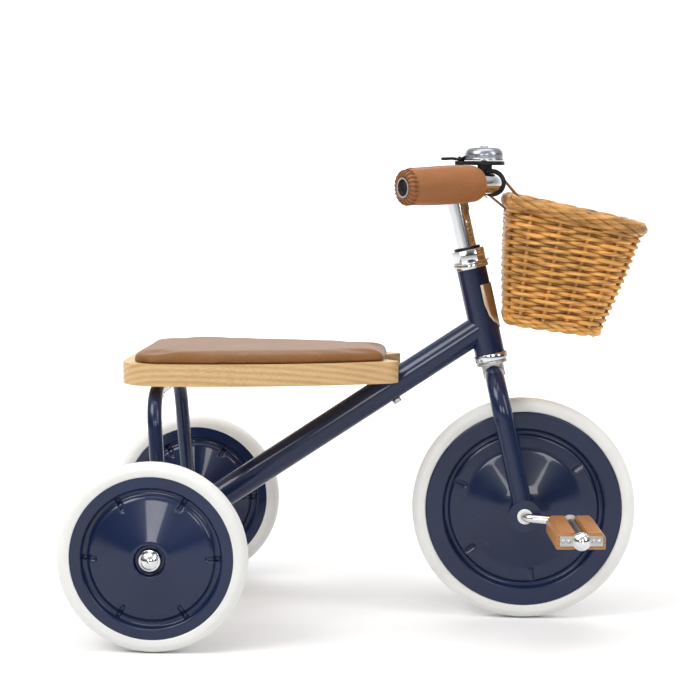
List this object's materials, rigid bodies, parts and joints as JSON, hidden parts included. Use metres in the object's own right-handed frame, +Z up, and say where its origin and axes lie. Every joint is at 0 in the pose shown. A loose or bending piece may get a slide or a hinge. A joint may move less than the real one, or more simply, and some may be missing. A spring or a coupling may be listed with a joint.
{
  "type": "children's tricycle",
  "caption": "Child's pedal tricycle: low step-through frame, padded wooden seat, front wheel with cranks and pedals, swept handlebar, bell and wicker basket.",
  "frame": {"origin": "on the floor, at the middle of the whole tricycle's length and width", "axes": "+X forward, +Y to the rider's left, +Z up"},
  "size_m": [0.631, 0.4338, 0.5378],
  "materials": {
    "navy_paint": "gloss",
    "wheel_paint": "gloss",
    "white_rubber": "matt",
    "ash_wood": "satin varnish",
    "pedal_wood": "satin varnish",
    "seat_leather": "satin",
    "grip_leather": "satin",
    "strap_leather": "satin",
    "wicker": "varnished",
    "chrome": "polished",
    "zinc_steel": "brushed",
    "white_nylon": "matt",
    "black_plastic": "satin",
    "champagne_metal": "satin"
  },
  "bodies": {
    "frame": {"head_tube": "navy_paint", "head_badge": "champagne_metal", "main_tube": "navy_paint", "seat_hoop": "navy_paint", "rear_axle_tube": "navy_paint", "rear_axle_rod": "zinc_steel", "axle_end_bushes": "white_nylon", "rear_axle_washers": "chrome", "rear_cap_nuts": "chrome", "seat_board": "ash_wood", "seat_cushion": "seat_leather", "seat_hoop_screws": "zinc_steel", "seat_front_bolt": "zinc_steel", "seat_barrel_nut": "zinc_steel", "lower_headset_cup": "chrome", "upper_headset_cup": "chrome", "lower_headset_bearing": "zinc_steel", "upper_headset_bearing": "zinc_steel"},
    "steering_fork": {"steerer_tube": "zinc_steel", "fork_blades": "navy_paint", "crown_race": "zinc_steel", "lock_washer": "chrome", "headset_locknut": "chrome", "headset_seal": "black_plastic", "pedal_axle_bushes": "white_nylon"},
    "bar_and_stem": {"stem": "chrome", "stem_wedge": "zinc_steel", "stem_expander_bolt": "zinc_steel", "handlebar": "chrome", "grip_right": "grip_leather", "grip_left": "grip_leather", "bar_end_plugs": "black_plastic", "bell_base": "black_plastic", "bell_dome": "chrome", "bell_dome_nut": "chrome"},
    "bell_thumb_lever": {"bell_lever": "black_plastic"},
    "basket": {"basket_body": "wicker", "basket_rim": "wicker", "basket_straps": "strap_leather", "strap_buckles": "chrome"},
    "front_wheel": {"front_tyre": "white_rubber", "front_disc_right": "wheel_paint", "front_disc_left": "wheel_paint", "front_hub": "wheel_paint", "crank": "chrome", "pedal_cap_nuts": "chrome"},
    "pedal_right": {"pedal_right_blocks": "pedal_wood", "pedal_right_cage": "zinc_steel", "pedal_right_screws": "zinc_steel"},
    "pedal_left": {"pedal_left_blocks": "pedal_wood", "pedal_left_cage": "zinc_steel", "pedal_left_screws": "zinc_steel"},
    "rear_wheel_right": {"rear_right_tyre": "white_rubber", "rear_right_outer_disc": "wheel_paint", "rear_right_inner_disc": "wheel_paint", "rear_right_hub": "zinc_steel"},
    "rear_wheel_left": {"rear_left_tyre": "white_rubber", "rear_left_outer_disc": "wheel_paint", "rear_left_inner_disc": "wheel_paint", "rear_left_hub": "zinc_steel"}
  },
  "joints": [
    {"name": "steering_turn", "type": "hinge", "parent": "frame", "child": "steering_fork", "pos_m": [0.1852, 0, 0.127], "axis": [-0.2207, 0, 0.9753], "range_deg": [-60, 60]},
    {"name": "bar_height", "type": "slide", "parent": "steering_fork", "child": "bar_and_stem", "axis": [-0.2207, 0, 0.9753], "range_m": [0, 0.03]},
    {"name": "bell_lever_press", "type": "hinge", "parent": "bar_and_stem", "child": "bell_thumb_lever", "pos_m": [0.10844, -0.05, 0.523], "axis": [0, 0, -1], "range_deg": [0, 25], "stiffness_Nm_per_rad": 0.02, "springref_deg": -17.19},
    {"name": "basket_swing", "type": "hinge", "parent": "bar_and_stem", "child": "basket", "pos_m": [0.14494, 0, 0.49704], "axis": [0, -1, 0], "range_deg": [0, 35]},
    {"name": "front_wheel_spin", "type": "hinge", "parent": "steering_fork", "child": "front_wheel", "pos_m": [0.1852, 0, 0.127], "axis": [0, 1, 0], "continuous": true},
    {"name": "pedal_right_spin", "type": "hinge", "parent": "front_wheel", "child": "pedal_right", "pos_m": [0.2329, -0.072, 0.1246], "axis": [0.0878, -0.9954, -0.0388], "continuous": true},
    {"name": "pedal_left_spin", "type": "hinge", "parent": "front_wheel", "child": "pedal_left", "pos_m": [0.1375, 0.072, 0.1294], "axis": [-0.0878, 0.9954, 0.0388], "continuous": true},
    {"name": "rear_wheel_right_spin", "type": "hinge", "parent": "frame", "child": "rear_wheel_right", "pos_m": [-0.2131, -0.188, 0.1024], "axis": [0, 1, 0], "continuous": true},
    {"name": "rear_wheel_left_spin", "type": "hinge", "parent": "frame", "child": "rear_wheel_left", "pos_m": [-0.2131, 0.188, 0.1024], "axis": [0, 1, 0], "continuous": true}
  ]
}
